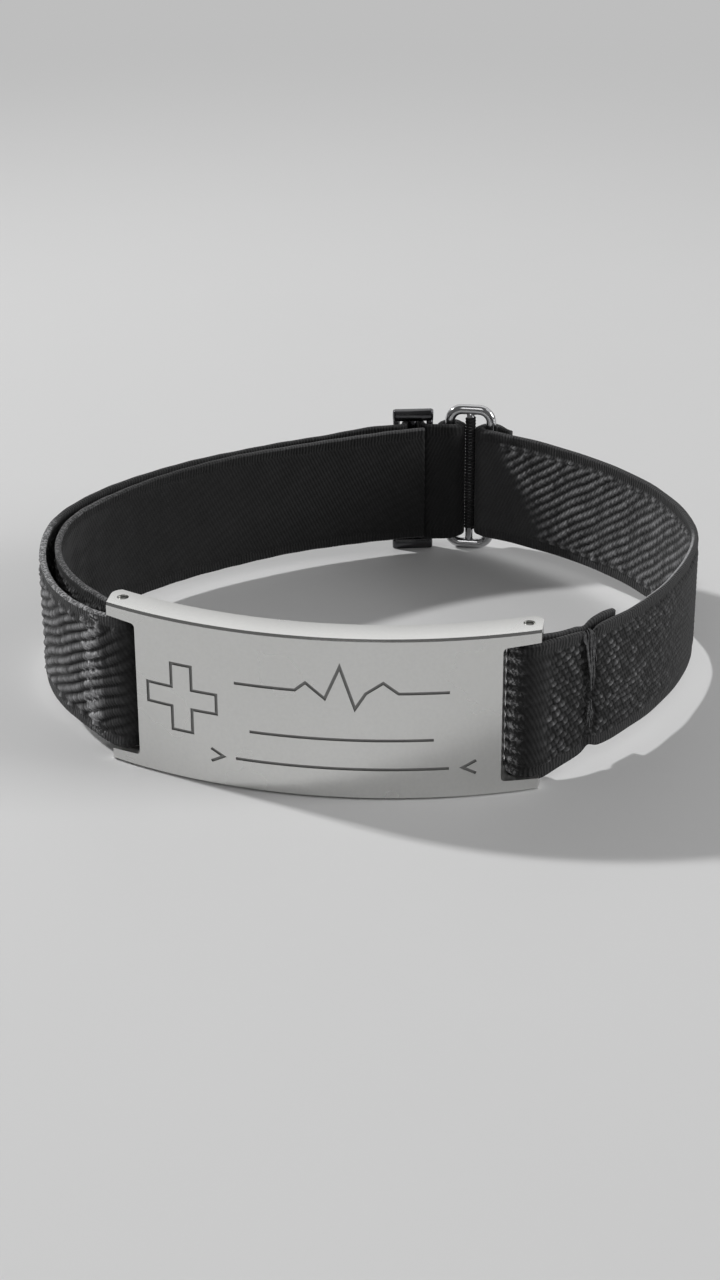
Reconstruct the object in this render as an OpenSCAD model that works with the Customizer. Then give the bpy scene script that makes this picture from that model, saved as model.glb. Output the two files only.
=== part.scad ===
// Medical alert bracelet, lying on its side: a curved steel identity plate
// on a woven elastic strap, joined at the back by a wire ring and a slider.
// X runs along the plate, Y from the plate to the back, Z up.

/* [Plate] */
// Length of the plate, straight across from end to end
plate_l = 44.2; // [38:0.2:50]
// Height of the plate
plate_h = 18; // [16.5:0.1:20]
// Thickness of the plate
plate_t = 3.7; // [3.4:0.1:4.6]
// Radius of the plate's front face, seen from above
plate_r = 52.5; // [46:0.5:70]
// Chamfer along the plate's long edges
plate_chamfer = 0.25; // [0.1:0.05:0.4]
// Rounding of the plate's rear end corners
plate_corner = 1.2; // [0.4:0.1:1.4]
// Height of an ear where it leaves the plate
ear_root = 1.5; // [1.2:0.1:1.7]
// Height of an ear at its tip
ear_tip = 1.3; // [1:0.1:1.5]
// Rounding where an ear meets the web
ear_fillet = 0.45; // [0.2:0.05:0.8]

/* [Pins] */
// Diameter of the pins between the ears
pin_d = 1.05; // [0.8:0.05:1.3]
// Distance from the plate's end to a pin's axis
pin_inset = 1.4; // [1.2:0.05:1.8]
// Depth of a pin's axis behind the plate's front face
pin_depth = 2.05; // [1.7:0.05:2.2]
// Radial clearance of a pin in its ear
pin_fit = 0.07; // [0.03:0.01:0.15]
// Depth of a pin's ends below the faces of the ears
pin_recess = 0.25; // [0.1:0.05:0.5]

/* [Strap] */
// Width of the strap
strap_w = 14; // [12:0.1:14.4]
// Thickness of the strap
strap_t = 1; // [0.8:0.05:1.2]
// Clearance between the strap and the metal that it turns round
strap_fit = 0.1; // [0.05:0.01:0.2]
// Gap between two layers of the strap where they lie together
layer_gap = 0.1; // [0.05:0.01:0.2]
// Gap between the right strap's turn round its pin and the plate's web
web_gap = 0.6; // [0.2:0.05:0.8]
// Gap between the left strap's turn round its pin and the plate's web
web_gap_left = 0.15; // [0.1:0.05:0.5]

/* [Loop] */
// Distance from the plate's front to the strap's inner face at the back
loop_d = 62.15; // [56:0.5:70]
// Distance from the plate's middle to the strap's inner face on the right
reach_right = 35.55; // [33:0.5:38]
// Distance from the plate's middle to the strap's inner face on the left
reach_left = 32; // [30:0.5:36]
// Gap between the two layers of the left strap at its widest place
side_gap = 0.55; // [0.3:0.05:1.2]

/* [Ring] */
// Diameter of the ring's wire
ring_wire = 1.2; // [1:0.1:1.5]
// Distance between the axes of the ring's two upright bars
ring_pitch = 4.95; // [4.6:0.05:6]
// Gap between the ring's middle bar and the straps on both sides of it
ring_mid_gap = 0.12; // [0.05:0.01:0.25]
// Height of the ring
ring_h = 18.6; // [18:0.1:20]
// Radius of the ring's corners, on the axis of its wire
ring_corner = 1.5; // [1.2:0.1:1.8]
// Distance of the ring's middle to the right of the plate's middle
ring_x = 8.125; // [6:0.5:12]
// Length of the right strap's tail past the ring, from the bar's axis
ring_tail = 2.7; // [2.4:0.1:6]

/* [Slider] */
// Diameter of the slider's bars
slider_wire = 0.8; // [0.6:0.05:1]
// Clearance between the strap's edges and the slider's rails
slider_play = 0.7; // [0.4:0.05:0.9]
// Height of the slider's upper and lower rails
slider_rail = 1.3; // [0.8:0.1:1.5]
// Distance that a rail stands out past the side bars and the bars' thickness
slider_lip = 0.05; // [0.02:0.01:0.1]
// Turn of the slider away from the plate's direction, in degrees
slider_tilt = 12; // [8:1:16]

/* [Stitching] */
// Distance of the bar tack from the right pin
tack_reach = 5.6; // [5:0.1:8]
// Width of the bar tack
tack_w = 1; // [0.8:0.1:1.4]
// Length of the tail past the bar tack
tack_tail = 3.3; // [2:0.1:5]
// Length of the stitched seams at the ring and the slider
seam_w = 0.7; // [0.5:0.1:1]

/* [Engraving] */
// Depth of the engraved lines
cut_depth = 0.12; // [0.08:0.01:0.2]
// Width of the engraved lines
cut_w = 0.32; // [0.25:0.01:0.45]
// Distance between the engraved rows
row_pitch = 3.3; // [3:0.1:3.6]
// Height of the lowest row above the plate's lower edge
row_low = 3.5; // [3:0.1:4.5]
// Half the length of the engraved rows
row_half = 10.8; // [8:0.1:12]
// Distance of the rows' middle to the right of the plate's middle
row_x = 2.6; // [0:0.1:3]
// Height of the heartbeat line's tallest peak
pulse_h = 4.6; // [3:0.1:5.2]
// Overall size of the engraved cross
cross_size = 7.8; // [5:0.1:8.5]
// Width of the cross's arms
cross_arm = 2.5; // [1.8:0.1:2.8]
// Distance of the cross's middle to the left of the plate's middle
cross_x = 13.9; // [12:0.1:14.5]

/* [Hidden] */
steel = [0.74, 0.74, 0.72];
cloth = [0.16, 0.16, 0.17];
chrome = [0.62, 0.63, 0.65];

// Small overlap that cutting shapes have past the faces they cut
over = 0.5;
// Facets of a full turn of strap, of a round bar and of a curved stretch
turn_steps = 40;
bar_steps = 16;
curve_steps = 26;

// Plate, seen from above: its front face touches Y = 0 at its middle
half_l = plate_l / 2;
rear_r = plate_r - plate_t;
pin_x = half_l - pin_inset;
pin_y = plate_r - sqrt(pow(plate_r - pin_depth, 2) - pin_x * pin_x);
pin_left = [-pin_x, pin_y];
pin_right = [pin_x, pin_y];

// The strap's middle line turns round each bar at these radii
pin_turn = pin_d / 2 + strap_fit + strap_t / 2;
ring_turn = ring_wire / 2 + strap_fit + strap_t / 2;
slider_turn = slider_wire / 2 + strap_fit + strap_t / 2;
// The web ends clear of the strap that turns round the pin
web_reach = pin_x - pin_turn - strap_t / 2;
strap_z = (plate_h - strap_w) / 2;
step = strap_t + layer_gap;

// Ring and slider, seen from above
ring_y = loop_d + strap_t / 2 + ring_turn;
bar_left = [ring_x - ring_pitch / 2, ring_y];
bar_right = [ring_x + ring_pitch / 2, ring_y];
ring_mid_wire = ring_pitch - 2 * (ring_turn + strap_t / 2 + ring_mid_gap);
slider_pitch = 2 * slider_turn;
slider_gap = ring_turn + strap_t / 2 + strap_fit + slider_wire / 2;
slider_drop = 0.2;
slider_right = bar_left + [-slider_gap - slider_drop, slider_turn - ring_turn - 2 * slider_drop];
slider_mid = slider_right - slider_pitch * heading(slider_tilt);
slider_h = strap_w + 2 * (slider_play + slider_rail);

// The loop's widest places: share of the depth at which each lies
widest = [["right", 0.555], ["left", 0.445]];
wide_right = [reach_right + strap_t / 2, loop_d * widest[0][1]];
wide_left = [-reach_left - strap_t / 2, loop_d * widest[1][1]];
wide_outer = wide_left - [strap_t + side_gap, 0];

// Stretches of the strap's middle line, each a curve between two places:
// heading at its start, heading at its end, reach of each as a share of the span
//                name           start   end  from    to
stretch = [["right front",         38,   90, 0.48, 0.15],
           ["right back",          90,  160, 0.20, 0.54],
           ["outer back",         192,  270, 0.14, 0.37],
           ["outer front",        270,  336, 0.26, 0.42],
           ["inner front",        140,   90, 0.22, 0.48],
           ["inner back",          90,   21, 0.20, 0.48]];

// Full length and height of the model, to put its middle over the origin
leftmost = wide_outer[0] - strap_t / 2;
rightmost = wide_right[0] + strap_t / 2;
rearmost = ring_y + ring_turn + strap_t / 2;
centre = [(leftmost + rightmost) / 2, rearmost / 2];

// Plan geometry

function heading(a) = [cos(a), sin(a)];
function leftward(v) = [-v[1], v[0]];

// Points round part of a circle, from one angle to another
function turn(c, r, from, to) =
    let (n = ceil(abs(to - from) / 360 * turn_steps))
    [for (i = [0:n]) c + r * heading(from + (to - from) * i / n)];

// Place on a curve that leaves p in one direction and reaches q in another
function on_curve(p, q, s, u) =
    let (span = norm(q - p),
         a = p + s[3] * span * heading(s[1]),
         b = q - s[4] * span * heading(s[2]))
    pow(1 - u, 3) * p + 3 * u * pow(1 - u, 2) * a + 3 * u * u * (1 - u) * b + pow(u, 3) * q;

// Points along a curve, without its two ends
function curve(p, q, s, n = curve_steps) = [for (i = [1:n - 1]) on_curve(p, q, s, i / n)];

// Direction of a path at one of its points
function along(path, i) =
    let (a = path[max(i - 1, 0)],
         b = path[min(i + 1, len(path) - 1)])
    (b - a) / norm(b - a);

// Path moved sideways, to its left for a positive distance
function beside(path, d) = [for (i = [0:len(path) - 1]) path[i] + d * leftward(along(path, i))];

function reversed(path) = [for (i = [len(path) - 1:-1:0]) path[i]];

// Outline of a strap seen on edge, from its middle line
function on_edge(path, t = strap_t) = concat(beside(path, t / 2), reversed(beside(path, -t / 2)));

// Point given in the slider's own directions
function on_slider(x, y) = slider_mid + x * heading(slider_tilt) + y * leftward(heading(slider_tilt));

// Right strap

right_leave = pin_right + pin_turn * heading(stretch[0][1] - 90);
right_arrive = bar_right + ring_turn * heading(stretch[1][2] + 90);
front_span = norm(wide_right - right_leave);

// Place beside the front stretch of the right strap: how far along it, how far inward
function by_front(reach, inward) =
    let (u = reach / front_span,
         p = on_curve(right_leave, wide_right, stretch[0], u),
         q = on_curve(right_leave, wide_right, stretch[0], u + 0.01))
    p + inward * leftward((q - p) / norm(q - p));

// The tail starts at its cut end, lies on the strap and opens towards the pin
tail_lift = 110;
tail_lay = [for (i = [0:6]) by_front(tack_reach + tack_tail - (tack_tail + tack_w) * i / 6, step)];
tail_open = curve(tail_lay[6], pin_right + pin_turn * heading(tail_lift),
                  ["tail", heading_of(tail_lay[6] - tail_lay[5]), tail_lift + 90, 0.35, 0.3], 8);

function heading_of(v) = atan2(v[1], v[0]);

ring_tail_turn = 40;

function right_path() = concat(
    tail_lay,
    tail_open,
    turn(pin_right, pin_turn, tail_lift, 270 + stretch[0][1]),
    curve(right_leave, wide_right, stretch[0]),
    [wide_right],
    curve(wide_right, right_arrive, stretch[1]),
    turn(bar_right, ring_turn, stretch[1][2] + 90, ring_tail_turn),
    ring_tail_path());

// Outside the ring's bar the tail comes down onto the strap again
function ring_tail_path() =
    let (s = ["ring tail", ring_tail_turn - 90, stretch[1][2] - 180, 0.3, 0.3],
         p = bar_right + ring_turn * heading(ring_tail_turn),
         q = by_ring(ring_tail, step))
    concat(curve(p, q, s, 6), [q]);

// Strap stitched through two layers: a short block through both
module stitched(from, to, w) {
    d = (to - from) / norm(to - from);
    n = leftward(d) * w / 2;
    polygon([from + n, to + n, to - n, from - n]);
}

module right_strap() {
    reach = strap_t / 2 - layer_gap;
    seam_at = ring_tail - seam_w;
    color(cloth) translate([0, 0, strap_z]) linear_extrude(strap_w) {
        polygon(on_edge(right_path()));
        stitched(by_front(tack_reach, -reach), by_front(tack_reach, step + reach), tack_w);
        stitched(by_ring(seam_at, -reach), by_ring(seam_at, step + reach), seam_w);
    }
}

// Place beside the ring: how far from it along the strap, how far outward
function by_ring(reach, outward) =
    let (away = heading(stretch[1][2] - 180))
    right_arrive + reach * away + outward * leftward(away);

module left_strap() {
    color(cloth) translate([0, 0, strap_z]) linear_extrude(strap_w) {
        polygon(on_edge(left_path()));
        polygon(on_edge(sewn_end(), strap_t - layer_gap));
        polygon(on_edge(sewn_sleeve(), strap_t - layer_gap));
    }
}

// Left strap: from its sleeve on the ring, through the slider, round the left pin and back
sleeve_from = 196;
sleeve_heading = 188;
left_leave = bar_left + ring_turn * heading(sleeve_heading - 270);
outer_arrive = pin_left + pin_turn * heading(stretch[3][2] - 90);
inner_leave = pin_left + pin_turn * heading(stretch[4][1] - 90);
outer_start = on_slider(-slider_pitch, -slider_turn);
inner_end = on_slider(-slider_pitch, -slider_turn - step);

function left_path() = concat(
    turn(bar_left, ring_turn, sleeve_from, sleeve_heading - 270),
    turn(slider_right, slider_turn, 270 + slider_tilt, 180 + slider_tilt),
    turn(slider_mid, slider_turn, 9 + slider_tilt, 171 + slider_tilt),
    turn(on_slider(-slider_pitch, 0), slider_turn, slider_tilt, slider_tilt - 90),
    curve(outer_start, wide_outer, stretch[2]),
    [wide_outer],
    curve(wide_outer, outer_arrive, stretch[3]),
    turn(pin_left, pin_turn, stretch[3][2] - 90, 360 + stretch[4][1] - 90),
    curve(inner_leave, wide_left, stretch[4]),
    [wide_left],
    curve(wide_left, inner_end, stretch[5]),
    [inner_end]);

// The inner layer's end rises under the slider's middle bar and is sewn to the rising strap
function sewn_end() =
    let (a = on_slider(-slider_pitch - seam_w, -slider_turn - step),
         b = on_slider(slider_turn * 0.7, -slider_turn - layer_gap),
         s = ["sewn end", slider_tilt, slider_tilt, 0.4, 0.4])
    concat([a], curve(a, b, s, 6), [b, on_slider(slider_pitch * 0.7, -slider_turn - layer_gap)]);

// The sleeve's cut end is sewn down onto the strap beside the ring
function sewn_sleeve() =
    let (a = bar_left + ring_turn * heading(sleeve_from - 12),
         b = bar_left + ring_turn * heading(sleeve_from),
         c = left_leave + (ring_turn - strap_t / 4) * heading(sleeve_heading))
    [a, b, c];

// Metal

// Closed wire in an upright plane: a rounded rectangle with a round section
module wire_loop(w, h, corner, wire) {
    places = [[1, 0], [1, 1], [0, 1], [0, 0]];
    spine = [for (k = [0:3], i = [0:5])
        let (p = places[k],
             c = [(p[0] - 0.5) * (w - 2 * corner), (p[1] - 0.5) * (h - 2 * corner)],
             a = -90 + 90 * k + 90 * i / 5)
        [c + corner * heading(a), a]];
    n = len(spine);
    points = [for (s = spine, j = [0:bar_steps - 1])
        let (b = 360 * j / bar_steps,
             q = s[0] + wire / 2 * cos(b) * heading(s[1]))
        [q[0], wire / 2 * sin(b), q[1] + h / 2]];
    faces = [for (i = [0:n - 1], j = [0:bar_steps - 1])
        let (i2 = (i + 1) % n,
             j2 = (j + 1) % bar_steps)
        [i * bar_steps + j, i2 * bar_steps + j, i2 * bar_steps + j2, i * bar_steps + j2]];
    polyhedron(points, faces, convexity = 4);
}

module ring() {
    color(chrome) translate([ring_x, ring_y, ring_wire / 2]) {
        wire_loop(ring_pitch, ring_h - ring_wire, ring_corner, ring_wire);
        cylinder(d = ring_mid_wire, h = ring_h - ring_wire, $fn = 32);
    }
}

// Rail of the slider, seen from above: a bar with round ends
module rail() {
    r = slider_wire / 2 + slider_lip;
    polygon(concat(corner_arc([slider_pitch, 0], r, -90, 90, 12),
                   corner_arc([-slider_pitch, 0], r, 90, 270, 12)));
}

module slider() {
    color(chrome) translate([slider_mid[0], slider_mid[1], (plate_h - slider_h) / 2])
        rotate([0, 0, slider_tilt]) {
            for (z = [0, slider_h - slider_rail])
                translate([0, 0, z]) linear_extrude(slider_rail) rail();
            for (k = [-1, 0, 1])
                translate([k * slider_pitch, 0, slider_rail / 2])
                    cylinder(d = slider_wire, h = slider_h - slider_rail, $fn = 24);
        }
}

module pin(at) {
    color(steel) translate([at[0], at[1], pin_recess])
        cylinder(d = pin_d, h = plate_h - 2 * pin_recess, $fn = 32);
}

module left_pin() pin(pin_left);
module right_pin() pin(pin_right);

// Curved bar with a chamfered section, centred on the front
module plate_blank() {
    c = plate_chamfer;
    a = asin(half_l / rear_r) + 2;
    section = [[rear_r + c, 0], [plate_r - c, 0], [plate_r, c], [plate_r, plate_h - c],
               [plate_r - c, plate_h], [rear_r + c, plate_h], [rear_r, plate_h - c], [rear_r, c]];
    translate([0, plate_r, 0]) rotate([0, 0, -90 - a])
        rotate_extrude(angle = 2 * a, $fn = 200) polygon(section);
}

// Everything beyond the plate's end, with its rounded rear corner, for one side
module end_cut() {
    c = plate_corner;
    mid = [half_l - c, plate_r - sqrt(pow(rear_r + c, 2) - pow(half_l - c, 2))];
    inward = atan2(plate_r - mid[1], -mid[0]);
    far = half_l + plate_t + over;
    translate([0, 0, -over]) linear_extrude(plate_h + 2 * over)
        polygon(concat([[far, -over], [half_l, -over]], corner_arc(mid, c, 0, inward, 6),
                       [mid + 2 * plate_t * heading(inward), [far, mid[1] + 2 * plate_t]]));
}

function corner_arc(c, r, from, to, n) = [for (i = [0:n]) c + r * heading(from + (to - from) * i / n)];

// Notch between the ears of one end, seen from the front
module notch_cut(gap) {
    f = ear_fillet;
    root = web_reach - gap + f;
    tip = half_l + over;
    top_root = plate_h - ear_root;
    top_tip = plate_h - ear_tip;
    translate([0, plate_r, 0]) rotate([90, 0, 0]) linear_extrude(plate_r + over)
        polygon(concat([[tip, ear_tip]], reversed(corner_arc([root, ear_root + f], f, 180, 270, 5)),
                       reversed(corner_arc([root, top_root - f], f, 90, 180, 5)), [[tip, top_tip]]));
}

// Path moved sideways with full mitres at its corners, for engraved lines
function mitred(path, d) = [for (i = [0:len(path) - 1])
    let (a = path[max(i, 1)] - path[max(i, 1) - 1],
         b = path[min(i + 1, len(path) - 1)] - path[min(i + 1, len(path) - 1) - 1],
         m = a / norm(a) + b / norm(b),
         n = leftward(m) / norm(m))
    path[i] + d / (n * leftward(a) / norm(a)) * n];

// Open engraved line, drawn as the front is seen: X to the right, Y up
module line(path) {
    polygon(concat(mitred(path, cut_w / 2), reversed(mitred(path, -cut_w / 2))));
}

module rule(from, to, level) {
    translate([from, level - cut_w / 2]) square([to - from, cut_w]);
}

// Cross with equal arms
module cross(size, arm) {
    a = arm / 2;
    b = size / 2;
    polygon([[a, a], [a, b], [-a, b], [-a, a], [-b, a], [-b, -a],
             [-a, -a], [-a, -b], [a, -b], [a, -a], [b, -a], [b, a]]);
}

// Heartbeat line: share of the rows' length, share of the peak height
trace = [[-0.5, 0], [-0.21, 0], [-0.16, 0.2], [-0.11, 0], [-0.07, -0.16], [0, 0.62],
         [0.07, -0.38], [0.12, 0], [0.2, 0.26], [0.27, 0], [0.5, 0]];

module drawing() {
    translate([-cross_x, plate_h / 2 + cut_w]) difference() {
        cross(cross_size, cross_arm);
        cross(cross_size - 2 * cut_w, cross_arm - 2 * cut_w);
    }
    pulse_z = row_low + 2.6 * row_pitch;
    line([for (p = trace) [row_x + p[0] * 2 * row_half, pulse_z + p[1] * pulse_h]]);
    rule(row_x - row_half * 0.86, row_x + row_half * 0.86, row_low + row_pitch);
    rule(row_x - row_half, row_x + row_half, row_low);
    for (side = [-1, 1])
        line([for (p = [[1, -1], [0, 0], [1, 1]])
            [row_x + side * (row_half + row_pitch * (0.4 + 0.4 * p[0])), row_low + row_pitch * 0.22 * p[1]]]);
}

// The drawing, sunk to an even depth below the curved front
module engraving() {
    a = asin(half_l / plate_r) + 2;
    intersection() {
        translate([0, plate_r / 2, 0]) rotate([90, 0, 0]) linear_extrude(plate_r / 2 + over) drawing();
        translate([0, plate_r, 0]) rotate([0, 0, -90 - a])
            rotate_extrude(angle = 2 * a, $fn = 200)
                translate([plate_r - cut_depth, 0]) square([cut_depth + over, plate_h]);
    }
}

module id_plate() {
    color(steel) difference() {
        plate_blank();
        for (side = [0, 1]) mirror([side, 0, 0]) {
            end_cut();
            notch_cut(side == 0 ? web_gap : web_gap_left);
            translate([pin_x, pin_y, -over])
                cylinder(d = pin_d + 2 * pin_fit, h = plate_h + 2 * over, $fn = 32);
        }
        engraving();
    }
}

module placed() translate([-centre[0], -centre[1], 0]) children();

placed() id_plate();
placed() left_pin();
placed() right_pin();
placed() left_strap();
placed() right_strap();
placed() ring();
placed() slider();
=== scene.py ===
"""Medical alert bracelet lying on its side on a pale floor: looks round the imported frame."""

import math

import bpy
import numpy as np
from mathutils import Matrix, Vector


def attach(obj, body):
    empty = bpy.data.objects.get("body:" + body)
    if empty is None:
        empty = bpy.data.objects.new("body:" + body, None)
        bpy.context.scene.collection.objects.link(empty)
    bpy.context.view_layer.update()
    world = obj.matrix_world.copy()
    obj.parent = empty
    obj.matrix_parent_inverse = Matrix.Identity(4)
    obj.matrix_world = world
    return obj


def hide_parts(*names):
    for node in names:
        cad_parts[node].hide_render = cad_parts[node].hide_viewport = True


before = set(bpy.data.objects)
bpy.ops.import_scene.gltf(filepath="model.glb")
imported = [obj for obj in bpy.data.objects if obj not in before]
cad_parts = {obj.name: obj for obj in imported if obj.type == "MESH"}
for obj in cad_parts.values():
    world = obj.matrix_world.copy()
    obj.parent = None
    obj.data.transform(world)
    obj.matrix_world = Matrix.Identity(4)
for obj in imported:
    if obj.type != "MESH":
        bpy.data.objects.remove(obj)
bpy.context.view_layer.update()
MM = 0.001

# Sizes in millimetres, the same as in the part's source

PLATE_L, PLATE_H, PLATE_T, PLATE_R = 44.2, 18.0, 3.7, 52.5
PLATE_CHAMFER = 0.25
PIN_D, PIN_INSET, PIN_DEPTH = 1.05, 1.4, 2.05
PIN_X = PLATE_L / 2 - PIN_INSET
PIN_Y = PLATE_R - math.sqrt((PLATE_R - PIN_DEPTH) ** 2 - PIN_X**2)
STRAP_W, STRAP_T, FIT, LAYER_GAP = 14.0, 1.0, 0.1, 0.1
LOOP_D, REACH_RIGHT, REACH_LEFT, SIDE_GAP = 62.15, 35.55, 32.0, 0.55
RING_WIRE, RING_PITCH, RING_H, RING_CORNER, RING_X, RING_TAIL = 1.2, 4.95, 18.6, 1.5, 8.125, 2.7
RING_MID_GAP = 0.12
SLIDER_WIRE, SLIDER_H, SLIDER_RAIL, SLIDER_LIP, SLIDER_TILT = 0.8, 18.0, 1.3, 0.05, 12.0
TACK_REACH, TACK_TAIL, TACK_W = 5.6, 3.3, 1.0
STEP = STRAP_T + LAYER_GAP


def heading(a):
    return np.array([math.cos(math.radians(a)), math.sin(math.radians(a))])


def leftward(v):
    return np.array([-v[1], v[0]])


PIN_LEFT = np.array([-PIN_X, PIN_Y])
PIN_RIGHT = np.array([PIN_X, PIN_Y])
PIN_TURN = PIN_D / 2 + FIT + STRAP_T / 2
RING_TURN = RING_WIRE / 2 + FIT + STRAP_T / 2
SLIDER_TURN = SLIDER_WIRE / 2 + FIT + STRAP_T / 2
RING_MID_WIRE = RING_PITCH - 2 * (RING_TURN + STRAP_T / 2 + RING_MID_GAP)
RING_Y = LOOP_D + STRAP_T / 2 + RING_TURN
BAR_LEFT = np.array([RING_X - RING_PITCH / 2, RING_Y])
BAR_RIGHT = np.array([RING_X + RING_PITCH / 2, RING_Y])
SLIDER_PITCH = 2 * SLIDER_TURN
SLIDER_RIGHT = BAR_LEFT + np.array(
    [-(RING_TURN + STRAP_T / 2 + FIT + SLIDER_WIRE / 2) - 0.2, SLIDER_TURN - RING_TURN - 0.4]
)
SLIDER_MID = SLIDER_RIGHT - SLIDER_PITCH * heading(SLIDER_TILT)
WIDE_RIGHT = np.array([REACH_RIGHT + STRAP_T / 2, LOOP_D * 0.555])
WIDE_LEFT = np.array([-REACH_LEFT - STRAP_T / 2, LOOP_D * 0.445])
WIDE_OUTER = WIDE_LEFT - np.array([STRAP_T + SIDE_GAP, 0])
REARMOST = RING_Y + RING_TURN + STRAP_T / 2
CENTRE = np.array([(WIDE_OUTER[0] + WIDE_RIGHT[0]) / 2, REARMOST / 2])

# Stretches of the straps' middle lines: headings at both ends, reach of each end
RIGHT_FRONT = (38, 90, 0.48, 0.15)
RIGHT_BACK = (90, 160, 0.20, 0.54)
OUTER_BACK = (192, 270, 0.14, 0.37)
OUTER_FRONT = (270, 336, 0.26, 0.42)
INNER_FRONT = (140, 90, 0.22, 0.48)
INNER_BACK = (90, 21, 0.20, 0.48)


def turn(c, r, a0, a1, n=40):
    return [c + r * heading(a0 + (a1 - a0) * i / n) for i in range(n + 1)]


def on_curve(p, q, s, u):
    span = np.linalg.norm(q - p)
    a = p + s[2] * span * heading(s[0])
    b = q - s[3] * span * heading(s[1])
    return (1 - u) ** 3 * p + 3 * u * (1 - u) ** 2 * a + 3 * u * u * (1 - u) * b + u**3 * q


def curve(p, q, s, n=160):
    return [on_curve(p, q, s, i / n) for i in range(1, n)]


def unit(v):
    return v / np.linalg.norm(v)


def on_slider(x, y):
    return SLIDER_MID + x * heading(SLIDER_TILT) + y * leftward(heading(SLIDER_TILT))


RIGHT_LEAVE = PIN_RIGHT + PIN_TURN * heading(RIGHT_FRONT[0] - 90)
RIGHT_ARRIVE = BAR_RIGHT + RING_TURN * heading(RIGHT_BACK[1] + 90)
FRONT_SPAN = np.linalg.norm(WIDE_RIGHT - RIGHT_LEAVE)


def by_front(reach, inward):
    u = reach / FRONT_SPAN
    p = on_curve(RIGHT_LEAVE, WIDE_RIGHT, RIGHT_FRONT, u)
    q = on_curve(RIGHT_LEAVE, WIDE_RIGHT, RIGHT_FRONT, u + 0.01)
    return p + inward * leftward(unit(q - p))


def by_ring(reach, outward):
    away = heading(RIGHT_BACK[1] - 180)
    return RIGHT_ARRIVE + reach * away + outward * leftward(away)


def angle_of(v):
    return math.degrees(math.atan2(v[1], v[0]))


def right_path():
    lay = [by_front(TACK_REACH + TACK_TAIL - (TACK_TAIL + TACK_W) * i / 6, STEP) for i in range(7)]
    opened = curve(lay[6], PIN_RIGHT + PIN_TURN * heading(110), (angle_of(lay[6] - lay[5]), 200, 0.35, 0.3), 30)
    tail_top = BAR_RIGHT + RING_TURN * heading(40)
    tail_end = by_ring(RING_TAIL, STEP)
    return (
        lay
        + opened
        + turn(PIN_RIGHT, PIN_TURN, 110, 270 + RIGHT_FRONT[0])
        + curve(RIGHT_LEAVE, WIDE_RIGHT, RIGHT_FRONT)
        + [WIDE_RIGHT]
        + curve(WIDE_RIGHT, RIGHT_ARRIVE, RIGHT_BACK)
        + turn(BAR_RIGHT, RING_TURN, RIGHT_BACK[1] + 90, 40)
        + curve(tail_top, tail_end, (-50, RIGHT_BACK[1] - 180, 0.3, 0.3), 20)
        + [tail_end]
    )


def left_path():
    sleeve_heading = 188
    outer_arrive = PIN_LEFT + PIN_TURN * heading(OUTER_FRONT[1] - 90)
    inner_leave = PIN_LEFT + PIN_TURN * heading(INNER_FRONT[0] - 90)
    outer_start = on_slider(-SLIDER_PITCH, -SLIDER_TURN)
    inner_end = on_slider(-SLIDER_PITCH, -SLIDER_TURN - STEP)
    rise_a = on_slider(-SLIDER_PITCH * 0.3, -SLIDER_TURN - STEP * 0.75)
    rise_b = on_slider(SLIDER_PITCH * 0.62, -SLIDER_TURN - STEP * 0.42)
    return (
        turn(BAR_LEFT, RING_TURN, 184, sleeve_heading - 270)
        + turn(SLIDER_RIGHT, SLIDER_TURN, 270 + SLIDER_TILT, 180 + SLIDER_TILT)
        + turn(SLIDER_MID, SLIDER_TURN, 9 + SLIDER_TILT, 171 + SLIDER_TILT)
        + turn(on_slider(-SLIDER_PITCH, 0), SLIDER_TURN, SLIDER_TILT, SLIDER_TILT - 90)
        + curve(outer_start, WIDE_OUTER, OUTER_BACK)
        + [WIDE_OUTER]
        + curve(WIDE_OUTER, outer_arrive, OUTER_FRONT)
        + turn(PIN_LEFT, PIN_TURN, OUTER_FRONT[1] - 90, 360 + INNER_FRONT[0] - 90)
        + curve(inner_leave, WIDE_LEFT, INNER_FRONT)
        + [WIDE_LEFT]
        + curve(WIDE_LEFT, inner_end, INNER_BACK)
        + [inner_end, rise_a, rise_b]
    )


def even(path, step, fine=()):
    """Points a step apart, closer where fine says so, the direction at each, and the length up to each."""
    p = np.array(path)
    keep = np.r_[True, np.linalg.norm(np.diff(p, axis=0), axis=1) > 1e-6]
    p = p[keep]
    d = np.r_[0, np.cumsum(np.linalg.norm(np.diff(p, axis=0), axis=1))]
    s = [0.0]
    while s[-1] < d[-1] - step:
        s.append(s[-1] + next((f for a, b, f in fine if a <= s[-1] < b), step))
    s = np.array(s) * d[-1] / s[-1]
    q = np.stack([np.interp(s, d, p[:, 0]), np.interp(s, d, p[:, 1])], 1)
    t = np.gradient(q, s, axis=0)
    k = np.array([1, 2, 1]) / 4.0
    t = np.stack([np.convolve(np.pad(t[:, i], 1, mode="edge"), k, "valid") for i in (0, 1)], 1)
    t /= np.linalg.norm(t, axis=1)[:, None]
    return q, t, s


# Weave


def smooth(a, b, x):
    t = np.clip((x - a) / (b - a), 0, 1)
    return t * t * (3 - 2 * t)


def wander(s, v, seed, scale):
    """Slow, seeded unevenness between -1 and 1, the same each run."""
    r = np.random.RandomState(seed)
    out = np.zeros(np.broadcast(s, v).shape)
    for _ in range(5):
        a, b, c = r.normal(0, 1 / scale), r.normal(0, 1 / scale), r.uniform(0, 6.28)
        out += np.sin(a * s + b * v + c)
    return out / 2.6


# Width of the bound edges, pitch and depth of the ribs
SELVEDGE, PITCH, RIB_DEPTH = 1.3, 1.15, 0.36
# Lengths along the straps, in millimetres from where each begins
RIGHT_FOLD_S, RIGHT_PLAIN_S, RIGHT_RING_S = 13.15, 84.6, 90.5
LEFT_RING_S, LEFT_TURN_S = 3.85, 90.45


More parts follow.
